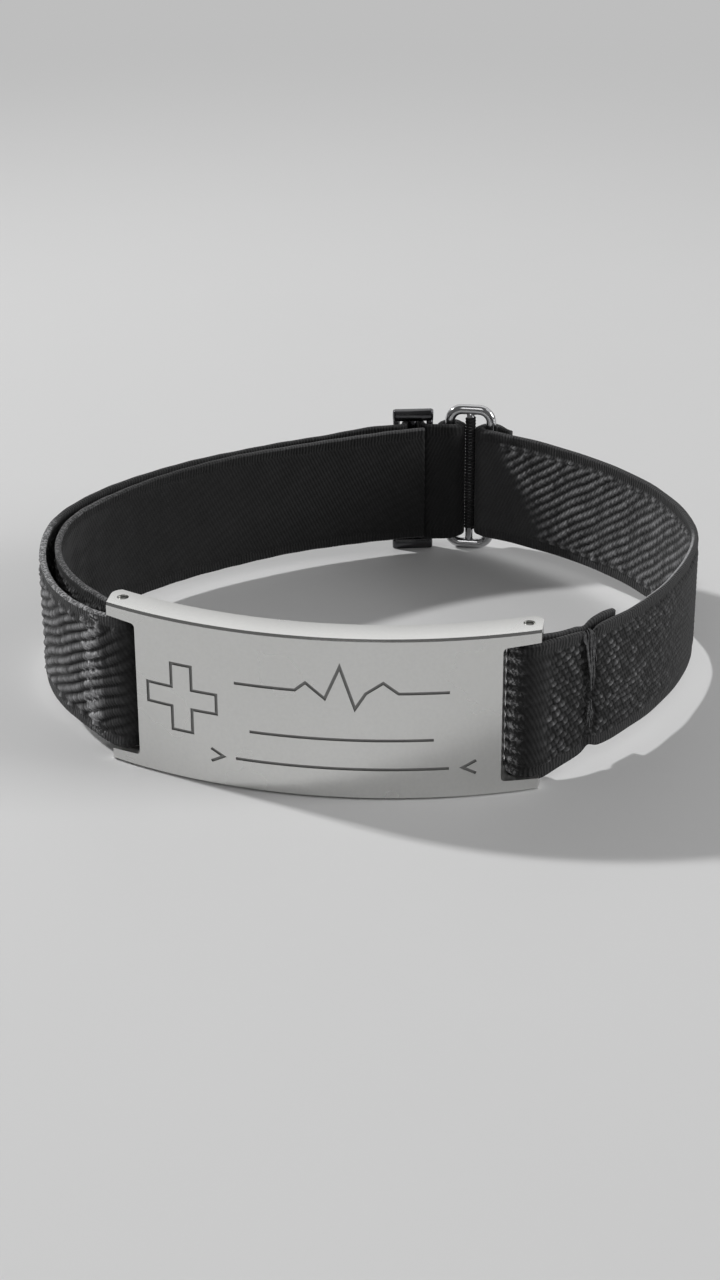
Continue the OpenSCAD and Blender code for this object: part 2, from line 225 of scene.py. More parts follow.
def bell(x, mid, width):
    return np.exp(-(((x - mid) / width) ** 2) / 2)


def chance(a, b, seed):
    """Even random numbers, one for each pair of whole numbers, the same each run."""
    return np.mod(np.sin(a * 12.9898 + b * 78.233 + seed * 3.17) * 43758.5453, 1.0)


def mixed(a, b, f):
    return a + (b - a) * f


# Each pattern gives the height of the cloth's face, 0 on its crests, and how light it is


def ribs(s, v, slope, seed, knot=0.62):
    phase = (v - slope * s) / PITCH + 0.15 * wander(s, v, seed, 1.6)
    cell = np.floor(phase)
    w = phase - cell
    rib = np.clip(np.sin(math.pi * w), 0, 1) ** 0.8
    along = (s * math.hypot(1, slope) * 0.9 + v * 0.35) / knot + chance(cell, 0, seed)
    beat = 0.5 + 0.5 * np.sin(2 * math.pi * along)
    tuft = chance(cell, np.floor(along), seed)
    height = rib * (0.74 + 0.14 * beat + 0.22 * tuft) * (1 + 0.10 * wander(s, v, seed + 1, 1.2))
    light = rib**1.5 * (0.36 + 0.30 * beat + 0.50 * tuft)
    edge = STRAP_W / 2 - np.abs(v) + 0.12 * wander(s, v, seed + 8, 0.6)
    taper = smooth(SELVEDGE + 0.20, SELVEDGE + 0.62, edge)
    height = -RIB_DEPTH + RIB_DEPTH * np.clip(height, 0, 1.1) * (0.35 + 0.65 * taper)
    light = light * (0.25 + 0.75 * taper)
    # Each rib ends in a small loop where it meets the selvedge
    for side in (-1, 1):
        vb = side * (STRAP_W / 2 - SELVEDGE - 0.25)
        g = (vb - slope * s) / PITCH
        ds = (g - np.round(g)) * PITCH / max(abs(slope), 0.2)
        loop = bell(ds, 0, 0.30) * bell(v, vb + side * 0.18, 0.30) * (0.65 + 0.6 * chance(np.round(g), side, seed))
        height = np.maximum(height, -RIB_DEPTH + 0.50 * loop)
        light = np.maximum(light, loop)
    return height, light


def pebbles(s, v, slope, seed):
    phase = (v - slope * s) / 0.68 + 0.24 * wander(s, v, seed, 1.2) + 0.10 * wander(s, v, seed + 7, 0.5)
    row = np.floor(phase)
    brick = s / 0.98 + 0.5 * np.mod(row, 2) + 0.22 * wander(s, v, seed + 3, 0.9) + 0.30 * chance(row, 1, seed)
    col = np.floor(brick)
    lump = (np.clip(np.sin(math.pi * (phase - row)), 0, 1) * np.abs(np.sin(math.pi * brick))) ** 0.6
    size = chance(row, col, seed)
    height = -0.34 + 0.34 * lump * (0.50 + 0.58 * size)
    return height, lump**2.3 * (0.14 + 0.70 * size)


def hatch(s, v, seed):
    line = 0.5 + 0.5 * np.sin(2 * math.pi * (s / 0.62 + 0.5 * wander(s * 0.3, v, seed, 0.7)))
    weft = 0.5 + 0.5 * np.sin(2 * math.pi * (v / 0.66 + 0.3 * wander(s, v, seed + 1, 1.5)))
    return -0.12 + 0.04 * line + 0.05 * weft, 0.02 + 0.10 * line + 0.14 * weft


def selvedge(s, v, height, light, seed, level=0.34):
    """The plain bound edge on both sides of a pattern."""
    edge = STRAP_W / 2 - np.abs(v)
    field = smooth(SELVEDGE - 0.14, SELVEDGE + 0.14, edge + 0.14 * wander(s, v * 0, seed + 5, 1.5))
    band = -0.15 - 0.14 * smooth(SELVEDGE - 0.75, SELVEDGE, edge) + 0.04 * wander(s, v, seed + 2, 0.8)
    return mixed(band, height, field), mixed(level, light, field), field


def right_look(s, v, side):
    """Height, light, share of pattern, and painted glints.

    Side is 1 on the left face (towards the wrist), -1 on the right one, 2 and 3 on their halves of the rims.
    """
    rib_h, rib_l = ribs(s, v, -0.72, 11)
    # Beyond a slant before the ring the ribs stop and the cloth is plain, painted darker as shade: the slant is a
    # painted shadow edge
    slant = RIGHT_PLAIN_S + 0.56 * v
    shown = 1 - smooth(slant - 1.6, slant + 0.6, s + 0.5 * wander(s * 0, v, 17, 0.6))
    in_h, in_l = mixed(-0.20, rib_h, shown), mixed(0.24, 0.05 + 0.84 * rib_l, shown)
    in_h, in_l, in_f = selvedge(s, v, in_h, in_l, 11, 0.20)
    in_h = mixed(in_h, 0.18, bell(s, RIGHT_RING_S, 1.1))
    peb_h, peb_l = pebbles(s, v, 0.22, 51)
    hat_h, hat_l = hatch(s, v, 61)
    fade = smooth(29, 47, s + 1.5 * wander(s, v, 63, 2.5))
    out_h, out_l = mixed(peb_h, hat_h, fade), mixed(peb_l, hat_l, fade)
    # Beside the plate the face has flatter ribs across it, painted dark as shade where the cloth folds in
    fold_h, fold_l = ribs(s, v, 0.10, 71)
    fold = smooth(12.2, 13.2, s) * (1 - smooth(15.6, 17.4, s + 0.4 * wander(s, v, 65, 1.0)))
    out_h, out_l = mixed(out_h, 0.20 * fold_h - 0.06, fold), mixed(out_l, 0.04 + 0.22 * fold_l, fold)
    out_h, out_l, out_f = selvedge(s, v, out_h, out_l, 51, 0.17)
    # Small dark gaps where the weft turns back at the upper selvedge
    turn_v = STRAP_W / 2 - SELVEDGE - 0.15 + 0.10 * wander(s, v * 0, 67, 1.5)
    off = (s / PITCH - np.round(s / PITCH)) * PITCH
    gap = bell(off, 0, 0.27) * bell(v, turn_v, 0.14) * smooth(29, 32, s)
    out_h, out_l = out_h - 0.20 * gap, out_l * (1 - 0.9 * gap)
    # Painted shade over the fold beside the plate
    shade = 1 - 0.80 * smooth(12.5, 13.6, s) * (1 - smooth(15.0, 17.0, s))
    # A row of knots stands up where the cloth folds in beside the plate
    g = v / PITCH + 0.5
    drift = 0.14 * (chance(np.round(g), 2, 5) - 0.5)
    knot = bell(s, RIGHT_FOLD_S + drift, 0.42) * bell((g - np.round(g)) * PITCH, 0, 0.25) * (np.abs(v) < 6.9)
    fold_in = bell(s, 12.8, 1.1)
    out_h = mixed(out_h, 0.50, fold_in) + 0.20 * knot * (0.8 + 0.4 * chance(np.round(g), 3, 7))
    out_l = out_l * shade + 0.7 * knot
    # Painted highlight: the rims' half towards the left face is lighter, most in a band from 29 to 52 mm that also
    # gets painted glints
    lit = smooth(29, 33, s) * (1 - smooth(45, 52, s))
    rim_l = np.where(side == 2, 0.30 + 1.0 * lit, 0.22)
    inner, outer = side == 1, side == -1
    height = np.where(inner, in_h, np.where(outer, out_h, -0.12))
    light = np.where(inner, in_l, np.where(outer, out_l, rim_l))
    cloth = np.where(inner, in_f, np.where(outer, out_f, 0.0))
    glint = np.where(outer, knot, 0.0) + np.where(side == 2, 0.35 * lit, 0.0)
    return height, light, cloth, glint


def left_look(s, v, side):
    """As right_look: side -1 faces outwards on the outer layer and the wrist on the inner one."""
    turn_s = LEFT_TURN_S
    rib_h, rib_l = ribs(s, v, 0.50, 23)
    # Painted shade: past the turn the face towards the wrist is painted nearly black and its ribs flatten, and
    # just before the turn, going into the notch, the ribs are painted darker
    plain = smooth(turn_s + 0.6, turn_s + 2.5, s)
    fold = smooth(turn_s - 1.4, turn_s - 0.6, s) * (1 - plain)
    relief = 1 - 0.94 * plain - 0.35 * fold
    tone = 1 - 0.97 * plain - 0.66 * fold
    near_turn = plain * (1 - smooth(118, 134, s))
    mottle = 0.035 + 0.04 * near_turn * (1.5 + wander(s, v, 29, 1.3) + wander(s, v, 31, 0.5))
    face_h = mixed(-0.18, rib_h, relief) + 0.02 * plain * wander(s, v, 35, 0.9)
    face_l = rib_l * tone + plain * mottle
    # Scattered bright fibres where the cloth starts to turn, whose specks are painted glints
    fibres = 0.0
    for k, pitch in enumerate((0.52, 0.61, 0.44)):
        row = np.round(v / pitch + 0.3 * k)
        shift = (chance(row, 5 + k, 33) - 0.5) * 2.3
        length = 0.24 + 0.2 * chance(row, 7 + k, 33)
        tuft = bell(s, turn_s - 2.6 + shift, length) * bell(v - (row - 0.3 * k) * pitch, 0, 0.11)
        fibres = np.maximum(fibres, tuft * (0.25 + 0.85 * chance(row, 9 + k, 33)))
    fibres = fibres * (1 - plain) * (np.abs(v) < 6.6)
    face_h = face_h + 0.16 * fibres
    face_l = face_l + 0.9 * fibres
    face_h, face_l, face_f = selvedge(s, v, face_h, face_l, 23, mixed(0.30, 0.06, plain))
    back_h, back_l = pebbles(s, v, -0.3, 91)
    back_h, back_l, back_f = selvedge(s, v, back_h, back_l, 91, 0.2)
    start = 1 - smooth(26, 32, s)
    back_h, back_l = mixed(back_h, -0.16, start), mixed(back_l, 0.05, start)
    back_h = mixed(back_h, 0.18, bell(s, LEFT_RING_S, 1.1))
    # Painted highlights along the rims: on the outer layer before the turn, on the inner layer after it, and
    # towards the ring
    outer_rim = smooth(60, 68, s) * (1 - smooth(turn_s - 1, turn_s + 1, s))
    inner_rim = plain * (1 - smooth(118, 140, s))
    rim_l = 0.16 + 0.40 * outer_rim + 0.17 * inner_rim + 0.22 * smooth(140, 158, s)
    face, back = side == -1, side == 1
    height = np.where(face, face_h, np.where(back, back_h, -0.12))
    light = np.where(face, face_l, np.where(back, back_l, rim_l))
    cloth = np.where(face, face_f, np.where(back, back_f, 0.0))
    # Painted glints on the fibres, on the back face near the turn, and on the lit rims
    near = smooth(80, 86, s) * (1 - plain)
    glint = np.where(face, fibres, np.where(back, 0.9 * near, 0.50 * outer_rim + 0.16 * inner_rim))
    return height, light, cloth, glint


def linked(name, data):
    ob = bpy.data.objects.new(name, data)
    bpy.context.collection.objects.link(ob)
    return ob


def make_mesh(name, verts, faces, smooth_on=True):
    me = bpy.data.meshes.new(name)
    verts = np.asarray(verts, np.float32)
    faces = np.asarray(faces, np.int32)
    me.vertices.add(len(verts))
    me.vertices.foreach_set("co", verts.ravel())
    n, k = faces.shape
    me.loops.add(n * k)
    me.loops.foreach_set("vertex_index", faces.ravel())
    me.polygons.add(n)
    me.polygons.foreach_set("loop_start", np.arange(0, n * k, k, dtype=np.int32))
    me.polygons.foreach_set("use_smooth", np.full(n, smooth_on))
    me.update(calc_edges=True)
    me.validate()
    return linked(name, me)


def set_floats(ob, name, values):
    a = ob.data.attributes.new(name, "FLOAT", "POINT")
    a.data.foreach_set("value", np.asarray(values, np.float32).ravel())


def ribbon(name, path, look, seed, fine=(), pinch=(), flare=(), crease=(), step=0.36, across=0.17):
    """Woven strap along a path: a closed tube of cloth with a rounded rim at each edge.

    In millimetres along the strap: fine gives from, to and step; pinch gives place, width, depth and draw of a
    gathered line; flare gives place, width and spread of the lower and upper edge; crease gives place, the
    heights between which it runs, and depth.
    """
    q, t, s = even(path, step, fine)
    n = np.stack([-t[:, 1], t[:, 0]], 1)
    rim = 0.34
    flat = STRAP_W / 2 - rim
    m = int(round(2 * flat / across))
    vs = np.linspace(-flat, flat, m + 1)
    # Each point of the section: two offsets, the way out in both, the place across, and the side.
    # Left face upwards, rounded top rim, right face downwards, rounded bottom rim.
    section = []
    for way, start in ((1, 0), (-1, 180)):
        section += [(way * STRAP_T / 2, v, float(way), 0.0, v, way) for v in vs[::way]]
        for a in np.linspace(start, start + 180, 9)[1:-1]:
            c, d = math.cos(math.radians(a)), math.sin(math.radians(a))
            z = way * flat + rim * d
            section.append((STRAP_T / 2 * c, z, c, d, z, 2 if c > 0.2 else 3))
    section = np.array(section)
    N, M = len(s), len(section)
    S, V = np.meshgrid(s, section[:, 4], indexing="ij")
    kind = np.broadcast_to(section[:, 5], S.shape)
    h, light, cloth, glint = look(S, V, kind)
    # Painted shade: each crease is cut in and darkened on the right face
    for at, lo, hi, depth in crease:
        line = bell(S, at + 0.22 * np.sin(V * 1.3), 0.26) * smooth(lo - 0.5, lo + 0.5, V)
        line = line * (1 - smooth(hi - 0.5, hi + 0.5, V))
        h = h - np.where(kind == -1, depth * line, 0)
        light = light * (1 - 0.85 * line * (kind == -1))
    off_n = np.broadcast_to(section[:, 0], S.shape) + h * section[:, 2]
    off_z = np.broadcast_to(section[:, 1], S.shape) + h * section[:, 3] * 0.5
    edge_wave = 0.05 * wander(S, V * 0, seed + 9, 1.1)
    off_z = off_z + np.sign(section[:, 1]) * (np.abs(section[:, 1]) > flat - 0.5) * edge_wave
    # Painted shade: each gathered line pulls in and is darkened
    for at, wide, depth, draw in pinch:
        g = bell(S, at, wide)
        off_n = off_n - np.sign(off_n) * depth * g * (0.75 + 0.25 * np.sin(V * 2.1 + 1))
        off_z = off_z * (1 - draw * g / (STRAP_W / 2))
        light = light * (1 - 0.35 * g)
    for at, wide, down, up in flare:
        g = bell(S, at, wide)
        off_z = off_z + g * np.where(off_z < 0, -down * (-off_z / 7), up * (off_z / 7))
    x = q[:, 0:1] + n[:, 0:1] * off_n - CENTRE[0]
    y = q[:, 1:2] + n[:, 1:2] * off_n - CENTRE[1]
    z = PLATE_H / 2 + off_z
    verts = np.stack([x, y, z], -1).reshape(-1, 3) * MM
    i, j = np.meshgrid(np.arange(N - 1), np.arange(M), indexing="ij")
    j2 = (j + 1) % M
    faces = np.stack([i * M + j, (i + 1) * M + j, (i + 1) * M + j2, i * M + j2], -1).reshape(-1, 4)
    # Flat caps at both ends, across the faces and then across the two rims
    caps = []
    for base, way in ((0, 1), ((N - 1) * M, -1)):
        left_ids = [base + a for a in range(m + 1)]
        right_ids = [base + (m + 1) + 7 + a for a in range(m + 1)][::-1]
        caps += [[left_ids[a], left_ids[a + 1], right_ids[a + 1], right_ids[a]][::way] for a in range(m)]
        top = [base + m + 1 + a for a in range(7)]
        bottom = [base + 2 * (m + 1) + 7 + a for a in range(7)]
        for loop in ([left_ids[-1]] + top + [right_ids[-1]], [right_ids[0]] + bottom + [left_ids[0]]):
            caps += [[loop[a], loop[a + 1], loop[7 - a], loop[8 - a]][::way] for a in range(3)]
    faces = np.concatenate([faces, np.array(caps, int)])
    ob = make_mesh(name, verts, faces)
    set_floats(ob, "light", light)
    set_floats(ob, "cloth", cloth)
    set_floats(ob, "glint", glint)
    set_floats(ob, "along", S)
    set_floats(ob, "across", V)
    uv = ob.data.uv_layers.new(name="UVMap")
    li = np.empty(len(ob.data.loops), np.int32)
    ob.data.loops.foreach_get("vertex_index", li)
    perim = np.arange(M) / M
    U = np.stack([np.repeat(s / s[-1], M), np.tile(perim, N)], 1)
    uv.data.foreach_set("uv", U[li].astype(np.float32).ravel())
    return ob


def wire(name, spine, radius, sides=20, closed=True):
    """Round wire along a 3-D line of points, in millimetres of the row's frame."""
    p = np.array(spine, float)
    nxt = np.roll(p, -1, 0) if closed else np.vstack([p[1:], 2 * p[-1] - p[-2]])
    prv = np.roll(p, 1, 0) if closed else np.vstack([2 * p[0] - p[1], p[:-1]])
    t = nxt - prv
    t /= np.linalg.norm(t, axis=1)[:, None]
    ref = np.cross(t[0], t[len(p) // 4]) if closed else np.array([0.0, 0.0, 1.0])
    if np.linalg.norm(ref) < 1e-3 or abs(np.dot(unit(ref), t[0])) > 0.95:
        ref = np.array([0.0, 1.0, 0.0])
    a = np.cross(t, unit(ref))
    a /= np.linalg.norm(a, axis=1)[:, None]
    b = np.cross(t, a)
    ang = np.linspace(0, 2 * math.pi, sides, endpoint=False)
    r = np.broadcast_to(np.asarray(radius, float), (len(p),))
    v = p[:, None, :] + r[:, None, None] * (
        np.cos(ang)[None, :, None] * a[:, None, :] + np.sin(ang)[None, :, None] * b[:, None, :]
    )
    n = len(p)
    rows = n if closed else n - 1
    i, j = np.meshgrid(np.arange(rows), np.arange(sides), indexing="ij")
    i2, j2 = (i + 1) % n, (j + 1) % sides
    faces = np.stack([i * sides + j, i * sides + j2, i2 * sides + j2, i2 * sides + j], -1).reshape(-1, 4)
    verts = v.reshape(-1, 3)
    if not closed:
        k = len(verts)
        verts = np.vstack([verts, p[0], p[-1]])
        last = (n - 1) * sides
        ends = [(k, (c + 1) % sides, c) for c in range(sides)]
        ends += [(k + 1, last + c, last + (c + 1) % sides) for c in range(sides)]
        me = bpy.data.meshes.new(name)
        me.from_pydata([tuple(c) for c in verts * MM], [], [tuple(f) for f in faces] + ends)
        me.polygons.foreach_set("use_smooth", [True] * len(me.polygons))
        me.update()
        return linked(name, me)
    return make_mesh(name, verts * MM, faces)


def frame_line(mid, half_w, z0, z1, corner, arc=10):
    """Middle line of an upright rounded rectangle of wire."""
    out = []
    half_h = (z1 - z0) / 2
    for k, (sx, sz) in enumerate(((1, -1), (1, 1), (-1, 1), (-1, -1))):
        for i in range(arc + 1):
            a = math.radians(-90 + 90 * k + 90 * i / arc)
            x = sx * (half_w - corner) + corner * math.cos(a)
            z = (z0 + z1) / 2 + sz * (half_h - corner) + corner * math.sin(a)
            out.append((mid[0] + x - CENTRE[0], mid[1] - CENTRE[1], z))
    return out


def subdivided(line, parts=6):
    p = np.array(line)
    out = []
    for i in range(len(p)):
        a, b = p[i], p[(i + 1) % len(p)]
        k = parts if np.linalg.norm(b - a) > 2 else 1
        out += [a + (b - a) * c / k for c in range(k)]
    return out


# Materials


def new_material(name):
    mat = bpy.data.materials.new(name)
    mat.use_nodes = True
    nt = mat.node_tree
    return mat, nt, nt.nodes["Principled BSDF"]


def node(nt, kind, **values):
    nd = nt.nodes.new(kind)
    for k, v in values.items():
        setattr(nd, k, v)
    return nd


def math_node(nt, op, a, b=None, clamp=False):
    nd = node(nt, "ShaderNodeMath", operation=op, use_clamp=clamp)
    for i, v in enumerate((a, b)):
        if v is None:
            continue
        if isinstance(v, (int, float)):
            nd.inputs[i].default_value = v
        else:
            nt.links.new(v, nd.inputs[i])
    return nd.outputs[0]


def add(nt, a, b, clamp=False):
    return math_node(nt, "ADD", a, b, clamp)


def sub(nt, a, b, clamp=False):
    return math_node(nt, "SUBTRACT", a, b, clamp)


def mul(nt, a, b, clamp=False):
    return math_node(nt, "MULTIPLY", a, b, clamp)


def blended(nt, share, colour, other):
    """The linked colour, and by a share the other, which is plain."""
    nd = node(nt, "ShaderNodeMix", data_type="RGBA")
    nt.links.new(share, nd.inputs[0])
    nt.links.new(colour, nd.inputs[6])
    nd.inputs[7].default_value = (*other, 1)
    return nd.outputs[2]


def bumped(nt, height, strength, distance, normal=None):
    nd = node(nt, "ShaderNodeBump")
    nd.inputs["Strength"].default_value = strength
    nd.inputs["Distance"].default_value = distance
    nt.links.new(height, nd.inputs["Height"])
    if normal is not None:
        nt.links.new(normal, nd.inputs["Normal"])
    return nd.outputs["Normal"]


def ramp(nt, fac, stops):
    nd = node(nt, "ShaderNodeValToRGB")
    cr = nd.color_ramp
    while len(cr.elements) < len(stops):
        cr.elements.new(0.5)
    for e, (pos, col) in zip(cr.elements, stops):
        e.position = pos
        e.color = (*col, 1)
    nt.links.new(fac, nd.inputs[0])
    return nd.outputs[0]


def attribute(nt, name):
    return node(nt, "ShaderNodeAttribute", attribute_name=name).outputs["Fac"]


# Colours of the elastic between its threads and on them, and the pale paint of the painted glints on fibre ends
DARK, MIDDLE, BRIGHT, GLINT_PAINT = [(c, c, c * 1.02) for c in (0.009, 0.070, 0.29, 0.62)]


def noise_node(nt, obj, scale, detail=2):
    nd = node(nt, "ShaderNodeTexNoise")
    nd.inputs["Scale"].default_value = scale
    nd.inputs["Detail"].default_value = detail
    nt.links.new(obj, nd.inputs["Vector"])
    return nd.outputs["Fac"]


def swing(nt, value, amount):
    """Noise round 0.5 turned into a change of plus or minus half an amount."""
    return mul(nt, sub(nt, value, 0.5), amount)


def cloth_material():
    mat, nt, bsdf = new_material("woven elastic")
    light, cloth, along, across, glint = [
        attribute(nt, name) for name in ("light", "cloth", "along", "across", "glint")
    ]
    obj = node(nt, "ShaderNodeTexCoord").outputs["Object"]
    fuzz = noise_node(nt, obj, 5200, 3)
    patch = noise_node(nt, obj, 320)
    # Fine threads across the selvedge and round the ribs
    stray = mul(nt, noise_node(nt, obj, 700), 9.0)
    thread = math_node(nt, "SINE", add(nt, mul(nt, along, 2 * math.pi / 0.36), stray))
    twist = math_node(nt, "SINE", add(nt, mul(nt, along, 2 * math.pi / 0.42), mul(nt, across, 7.0)))
    free = sub(nt, 1.0, cloth)
    threads = add(nt, mul(nt, mul(nt, thread, free), 1.7), mul(nt, twist, cloth))
    grain = add(nt, swing(nt, fuzz, 0.55), swing(nt, patch, 0.30))
    grain = add(nt, grain, mul(nt, threads, 0.08))
    # The lightness of each place scales its grain, so plain dark cloth stays plain
    grain = mul(nt, grain, add(nt, light, 0.10))
    colour = ramp(nt, add(nt, light, grain, clamp=True), [(0.0, DARK), (0.4, MIDDLE), (1.0, BRIGHT)])
    # Painted glints: pale specks on fibre ends, which are also less rough
    speck = mul(nt, sub(nt, noise_node(nt, obj, 3400), 0.50), 12.0, clamp=True)
    speck = mul(nt, speck, glint, clamp=True)
    nt.links.new(blended(nt, speck, colour, GLINT_PAINT), bsdf.inputs["Base Color"])
    nt.links.new(sub(nt, 0.80, mul(nt, speck, 0.40)), bsdf.inputs["Roughness"])
    bsdf.inputs["Specular IOR Level"].default_value = 0.20
    bsdf.inputs["Sheen Weight"].default_value = 0.05
    bsdf.inputs["Sheen Roughness"].default_value = 0.45
    height = add(nt, mul(nt, threads, 0.45), fuzz)
    nt.links.new(bumped(nt, height, 0.6, 0.00007), bsdf.inputs["Normal"])
    return mat


# Bounds of the engraving: depths below the front, and distances from the edges and the middle
CUT_FROM, CUT_TO, CUT_EDGE, CUT_REACH = 0.035, 0.135, 1.2, 18.4
ENGRAVED = (0.27, 0.27, 0.265)


def plate_material():
    mat, nt, bsdf = new_material("satin steel")
    obj = node(nt, "ShaderNodeTexCoord").outputs["Object"]
    sep = node(nt, "ShaderNodeSeparateXYZ")
    nt.links.new(obj, sep.inputs[0])
    z = sep.outputs[2]

    def above(value, limit):
        return math_node(nt, "GREATER_THAN", value, limit * MM)

    def below(value, limit):
        return math_node(nt, "LESS_THAN", value, limit * MM)

    # Distance from the axis of the front's curve tells the engraved floor from the face
    dx = add(nt, sep.outputs[0], CENTRE[0] * MM)
    dy = sub(nt, sep.outputs[1], (PLATE_R - CENTRE[1]) * MM)
    r = math_node(nt, "SQRT", add(nt, mul(nt, dx, dx), mul(nt, dy, dy)))
    cut = below(r, PLATE_R - CUT_FROM)
    for other in (
        above(r, PLATE_R - CUT_TO),
        above(z, CUT_EDGE),
        below(z, PLATE_H - CUT_EDGE),
        below(math_node(nt, "ABSOLUTE", dx), CUT_REACH),
    ):
        cut = mul(nt, cut, other)
    satin = noise_node(nt, obj, 2600, 4)
    cloud = noise_node(nt, obj, 90, 3)
    grain = add(nt, mul(nt, satin, 0.5), mul(nt, cloud, 0.5))
    face = ramp(nt, grain, [(0.35, (0.69, 0.69, 0.676)), (0.65, (0.73, 0.73, 0.716))])
    nt.links.new(blended(nt, cut, face, ENGRAVED), bsdf.inputs["Base Color"])
    rough = add(nt, mul(nt, cloud, 0.08), 0.24)
    rough = add(nt, rough, mul(nt, cut, 0.30))
    # The long chamfers at the front are polished
    chamfer = PLATE_CHAMFER - 0.01
    near_edge = above(math_node(nt, "ABSOLUTE", sub(nt, z, PLATE_H / 2 * MM)), PLATE_H / 2 - chamfer)
    top = above(z, PLATE_H - 0.01)
    polished = mul(nt, mul(nt, near_edge, sub(nt, 1.0, top)), above(r, PLATE_R - chamfer))
    rough = sub(nt, rough, mul(nt, polished, 0.19))
    nt.links.new(rough, bsdf.inputs["Roughness"])
    bsdf.inputs["Metallic"].default_value = 1.0
    # The top face is slightly crowned from front to back
    depth = math_node(nt, "DIVIDE", sub(nt, PLATE_R * MM, r), PLATE_T * MM, clamp=True)
    crown = mul(nt, mul(nt, depth, sub(nt, 1.0, depth)), top)
    normal = bumped(nt, crown, 1.0, 0.00045, bumped(nt, satin, 0.05, 0.00001))
    nt.links.new(normal, bsdf.inputs["Normal"])
    return mat


def metal_material(name, low, high, roughness, scale):
    mat, nt, bsdf = new_material(name)
    noise = noise_node(nt, node(nt, "ShaderNodeTexCoord").outputs["Object"], scale, 4)
    nt.links.new(ramp(nt, noise, [(0.3, low), (0.7, high)]), bsdf.inputs["Base Color"])
    nt.links.new(add(nt, mul(nt, noise, 0.12), roughness - 0.06), bsdf.inputs["Roughness"])
    bsdf.inputs["Metallic"].default_value = 1.0
    nt.links.new(bumped(nt, noise, 0.05, 0.00002), bsdf.inputs["Normal"])
    return mat


CLOTH = cloth_material()
PLATE = plate_material()
PIN = metal_material("turned pin", (0.30, 0.30, 0.29), (0.42, 0.42, 0.40), 0.35, 700)
CHROME = metal_material("polished wire", (0.46, 0.46, 0.47), (0.54, 0.54, 0.55), 0.16, 500)
NICKEL = metal_material("dark nickel", (0.075, 0.075, 0.08), (0.11, 0.11, 0.115), 0.20, 600)


def dress(ob, mat):
    ob.data.materials.clear()
    ob.data.materials.append(mat)


for name, mat in (("id_plate", PLATE), ("left_pin", PIN), ("right_pin", PIN)):
    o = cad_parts[name]
    for slot in o.material_slots:
        slot.material = mat

# Straps

rp = right_path()
lp = left_path()


def arc_at(path, point):
    """Length along a path to the place nearest to a point."""
    p = np.array(path)
    d = np.r_[0, np.cumsum(np.linalg.norm(np.diff(p, axis=0), axis=1))]
    return d[np.argmin(np.linalg.norm(p - point, axis=1))]


tack_tail_s = arc_at(rp, by_front(TACK_REACH, STEP))
tack_main_s = arc_at(rp[40:], by_front(TACK_REACH, 0)) + arc_at(rp, rp[40])
pin_right_s = arc_at(rp, PIN_RIGHT + PIN_TURN * heading(200))
pin_left_s = arc_at(lp, PIN_LEFT + PIN_TURN * heading(0))

right = ribbon(
    "right_strap_cloth", rp, right_look, 11, fine=[(11.5, 26, 0.2)], across=0.145,
    pinch=[(tack_main_s - 0.6, 0.6, 0.20, 0.5), (tack_tail_s, 0.5, 0.12, 0.3)],
    flare=[
        (pin_right_s, 1.6, 0.40, 0.42), (pin_right_s + 2.6, 1.5, 1.10, 0.15),
        (pin_right_s + 5.4, 2.0, 0.50, 0.05), (1.5, 1.6, 0.0, 0.35),
    ],
    crease=[
        (tack_main_s - 0.9, -6.8, -2.6, 0.40), (tack_main_s - 0.8, -1.5, 0.3, 0.62),
        (tack_main_s + 0.1, -5.0, 4.5, 0.22), (tack_main_s - 1.7, -3.0, 5.5, 0.16),
    ],
)
left = ribbon(
    "left_strap_cloth", lp, left_look, 23, fine=[(84, 93, 0.2)],
    flare=[
        (pin_left_s, 1.6, 0.45, 0.42), (pin_left_s - 3.4, 2.2, 0.80, 0.20),
        (9.4, 5.5, 0.56, 0.58), (18, 3.2, 0.0, 0.30), (169, 4, 0.0, 0.30),
    ],
)
for piece, node_name in ((right, "right_strap"), (left, "left_strap")):
    dress(piece, CLOTH)
    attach(piece, "root")
    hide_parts(node_name)

# Ring and slider

ring_mid = np.array([RING_X, RING_Y])
r = RING_WIRE / 2
ring_line = subdivided(frame_line(ring_mid, RING_PITCH / 2, r, RING_H - r, RING_CORNER))
ring = wire("ring_wire", ring_line, r, 28)
x, y = ring_mid - CENTRE
post_line = [(x, y, r + (RING_H - 2 * r) * i / 12) for i in range(13)]
post = wire("ring_post", post_line, RING_MID_WIRE * 0.36, 28, closed=False)
# Thread wound round the middle bar
THREAD_R, THREAD_LOW, THREAD_HIGH, TURNS, TURN_STEPS = 0.2, 2.6, 17.0, 36, 14
wound = []
for i in range(TURNS * TURN_STEPS + 1):
    a = 2 * math.pi * i / TURN_STEPS
    reach = RING_MID_WIRE / 2 - THREAD_R
    z = THREAD_LOW + (THREAD_HIGH - THREAD_LOW) * i / (TURNS * TURN_STEPS)
    wound.append((x + reach * math.cos(a), y + reach * math.sin(a), z))
wrap = wire("ring_post_thread", wound, THREAD_R, 8, closed=False)
for piece in (ring, post):
    dress(piece, CHROME)
    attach(piece, "root")
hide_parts("ring")


